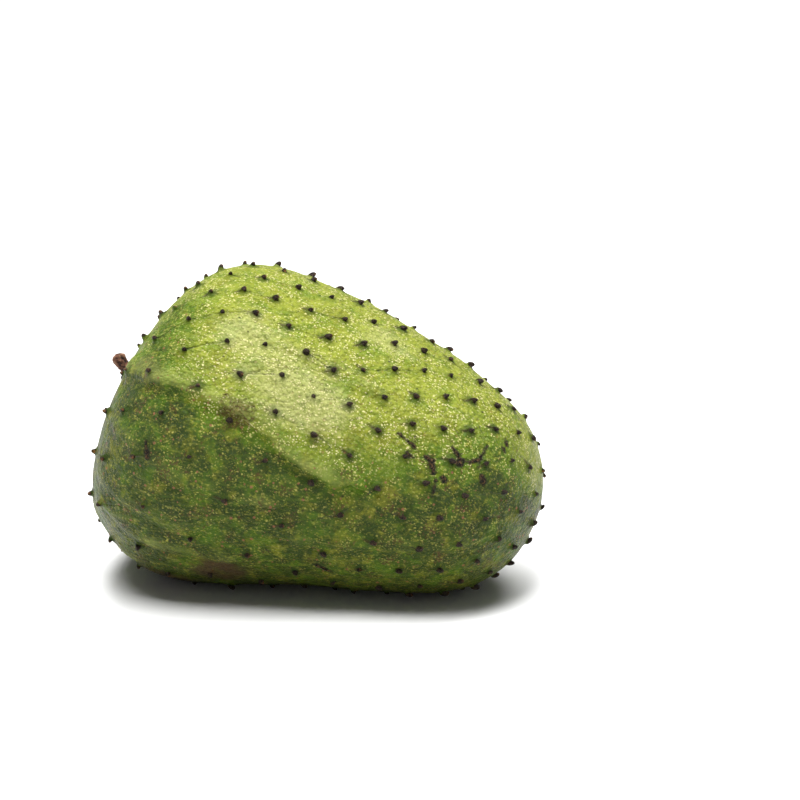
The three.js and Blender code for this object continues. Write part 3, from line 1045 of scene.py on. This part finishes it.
def blemishes(n):
    """Soft bruises, crusty russet patches, brown scuffs and the browned skin round the stem."""
    bruise = n.sway(n.mark("bruise"), n.noise(n.own, 7, 5, 0.7), 1.7)
    bruised = n.mix(n.noise(n.own, 0.7, 3, 0.6), BRUISE_DARK, BRUISE_PALE)
    n.lay(n.ease(bruise, 0.45, 1.05, 0.0, 0.85), bruised)
    russet = n.sway(n.mark("russet"), n.noise(n.own, 5, 6, 0.78), 3.6)
    n.russet = n.ease(russet, 0.45, 0.95)
    n.lay(n.times(n.russet, 0.35), RUSSET_STAIN)
    n.lay(n.times(n.russet, n.ease(n.crust, 0.48, 0.58, 0.0, 0.9)), RUSSET_DARK)
    n.lay(n.times(n.russet, n.ease(n.crust, 0.47, 0.38, 0.0, 0.75)), RUSSET_PALE)
    scuffs = n.ease(n.noise(n.own, 8, 5, 0.74), 0.54, 0.66)
    scuffs = n.times(scuffs, n.ease(n.crust, 0.44, 0.6))
    n.lay(n.times(scuffs, n.ease(n.mark("ripe"), 1.0, 0.3, 0.2, 0.9)), SCUFF)
    collar = n.sway(n.mark("collar"), n.grain, 0.7)
    n.lay(n.ease(collar, 0.4, 0.95, 0.0, 0.8), COLLAR)


def scars(n):
    """Corky scars with ragged dark rims."""
    depth = n.mark("scar")
    ragged = n.sway(depth, n.noise(n.own, 2.2, 5, 0.78), 4.8)
    rim = n.times(n.ease(ragged, -1.0, -0.1), n.ease(depth, -2.2, -1.0, 0.0, 0.75))
    n.scar = n.times(n.ease(ragged, -0.1, 0.35), n.ease(depth, -1.6, -1.0))
    n.lay(rim, SCAR_RIM)
    corky = n.ease(n.noise(n.own, 1.3, 4, 0.7), 0.46, 0.62)
    n.lay(n.scar, n.mix(corky, SCAR_PIT, SCAR_CORK))


def claws(n):
    """Hard dark claws, some with brown tips, and the paler ends of broken ones."""
    up = n.mark("up_claw")
    ragged = n.sway(up, n.noise(n.own, 1.0, 3, 0.6), 0.2)
    hard = n.mix(n.ease(n.noise(n.own, 0.7, 3, 0.65), 0.4, 0.64), CLAW_BLACK, CLAW_BROWN)
    tip = n.times(n.ease(n.kind, 0.3, 0.9, 0.0, 0.85), n.ease(ragged, 0.55, 0.9))
    n.horn = n.ease(n.plus(ragged, n.times(n.mark("fleshy"), -0.3)), 0.1, 0.24)
    n.lay(n.horn, n.mix(tip, hard, CLAW_TIP))
    n.lay(n.times(n.mark("broken"), n.ease(up, 0.62, 0.78)), BROKEN_CLAW)


def relief(n):
    """The fine height of the skin."""
    grooved = n.noise(n.stretch(n.own, (0.5, 1, 1)), 0.6, 3, 0.6)
    height = n.times(n.noise(n.own, 1.0, 4, 0.65), 0.24)
    for part, high in (
        (n.noise(n.streaked, 3.6, 3, 0.55), 0.27),
        (n.ease(n.cells(n.own, 2.3), 0.1, 0.7), -0.12),
        (n.vein, -0.25),
        (n.flecks, 0.06),
        (n.times(n.russet, n.crust), 0.4),
        (n.times(n.scar, n.noise(n.own, 0.8, 4, 0.7)), 0.5),
        (n.times(n.horn, grooved), 0.25),
    ):
        height = n.plus(height, n.times(part, high))
    return height


def roughness(n):
    """How dull the skin is."""
    dull = n.plus(0.33, n.times(n.noise(n.own, 5, 3), 0.22))
    for part, duller in (
        (n.flecks, 0.14),
        (n.math("MAXIMUM", n.scar, n.russet), 0.3),
        (n.horn, 0.05),
    ):
        dull = n.plus(dull, n.times(part, duller))
    return dull


def rind_material():
    rind = Rind()
    for step in (greens, fold_highlight_and_shade, spine_foot_shade_and_tails, veins, blooms_and_sheen, pale_spots, dark_spots, blemishes, scars, claws):
        step(rind)
    return rind.finish(rind.colour, relief(rind), roughness(rind), specular=0.19)


def stem_material():
    n = Nodes("stem_bark")
    place = n.add("ShaderNodeTexCoord", output="Object")
    coarse = n.noise(place, 2.2, 4, 0.65, 0.4)
    fine = n.noise(place, 0.6, 4, 0.7)
    tone = n.plus(n.times(n.mark("bark"), 0.9), n.plus(n.times(coarse, 0.6), n.times(fine, 0.5)))
    colour = n.mix(n.ease(tone, 0.25, 0.6), BARK_DARK, BARK_BROWN)
    colour = n.mix(n.ease(tone, 0.55, 0.9), colour, BARK_PALE)
    colour = n.mix(n.ease(n.noise(place, 1.8, 3), 0.6, 0.72, 0.0, 0.5), colour, LICHEN)
    fresh = n.ease(n.plus(n.mark("up_stem"), n.times(fine, 2.0)), 2.6, 0.6)
    colour = n.mix(n.times(fresh, 0.55), colour, FRESH_BARK)
    height = n.plus(n.times(coarse, 0.35), n.times(fine, 0.3))
    return n.finish(colour, height, n.ease(tone, 0.3, 0.9, 0.85, 0.65), specular=0.35)


# The view and the light.
VIEW_TURN = math.radians(14)
VIEW_RISE = math.radians(15)
VIEW_DISTANCE = 0.98
LENS = 100
AIM_FROM_MIDDLE = Vector((0.0355, 0.0075, 0.011))
FLOOR_HALF = 9.0
FLOOR_COLOUR = (0.8, 0.8, 0.8, 1)
SKY_STRENGTH = 0.16


def away_from(middle, turn, rise, distance):
    """A point seen from the middle at an angle about the vertical (0 is -Y) and above the floor."""
    flat = math.cos(rise) * distance
    return middle + Vector((math.sin(turn) * flat, -math.cos(turn) * flat, math.sin(rise) * distance))


def make_camera(middle):
    camera = bpy.data.objects.new("camera", bpy.data.cameras.new("camera"))
    camera.data.lens = LENS
    aim = middle + AIM_FROM_MIDDLE
    camera.location = away_from(aim, VIEW_TURN, VIEW_RISE, VIEW_DISTANCE)
    camera.rotation_euler = (aim - camera.location).to_track_quat("-Z", "Y").to_euler()
    bpy.context.scene.collection.objects.link(camera)
    bpy.context.scene.camera = camera


def add_light(name, kind, middle, turn, rise, distance, energy, **settings):
    light = bpy.data.lights.new(name, kind)
    light.energy = energy
    for key, value in settings.items():
        setattr(light, key, value)
    lamp = bpy.data.objects.new(name, light)
    lamp.location = away_from(middle, math.radians(turn), math.radians(rise), distance)
    lamp.rotation_euler = (middle - lamp.location).to_track_quat("-Z", "Y").to_euler()
    bpy.context.scene.collection.objects.link(lamp)


def make_stage(middle):
    corners = [(-1, -1), (1, -1), (1, 1), (-1, 1)]
    mesh = bpy.data.meshes.new("floor")
    mesh.from_pydata([(x * FLOOR_HALF, y * FLOOR_HALF, 0) for x, y in corners], [], [(0, 1, 2, 3)])
    floor = bpy.data.objects.new("floor", mesh)
    bpy.context.scene.collection.objects.link(floor)
    paper = Nodes("paper")
    paper.shader.inputs["Base Color"].default_value = FLOOR_COLOUR
    paper.shader.inputs["Roughness"].default_value = 0.9
    paper.shader.inputs["Specular IOR Level"].default_value = 0.1
    mesh.materials.append(paper.material)

    world = bpy.data.worlds.new("studio")
    world.use_nodes = True
    sky = world.node_tree.nodes["Background"]
    sky.inputs["Color"].default_value = (1, 1, 1, 1)
    sky.inputs["Strength"].default_value = SKY_STRENGTH
    bpy.context.scene.world = world
    sun_width = math.radians(46)
    add_light("key", "SUN", middle, turn=172, rise=70, distance=2.0, energy=3.8, angle=sun_width)
    add_light("front", "AREA", middle, turn=-12, rise=75, distance=1.5, energy=41, size=0.8)


def main():
    low, high = CAD_BOX
    middle = (low + high) / 2
    fruit = make_fruit()
    fruit.data.materials.append(rind_material())
    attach(fruit, "root")
    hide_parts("fruit")
    stem = make_stem()
    stem.data.materials.append(stem_material())
    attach(stem, "root")
    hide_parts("stem")
    make_camera(middle)
    make_stage(middle)
    bpy.context.scene.view_settings.view_transform = "Standard"
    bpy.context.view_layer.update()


main()
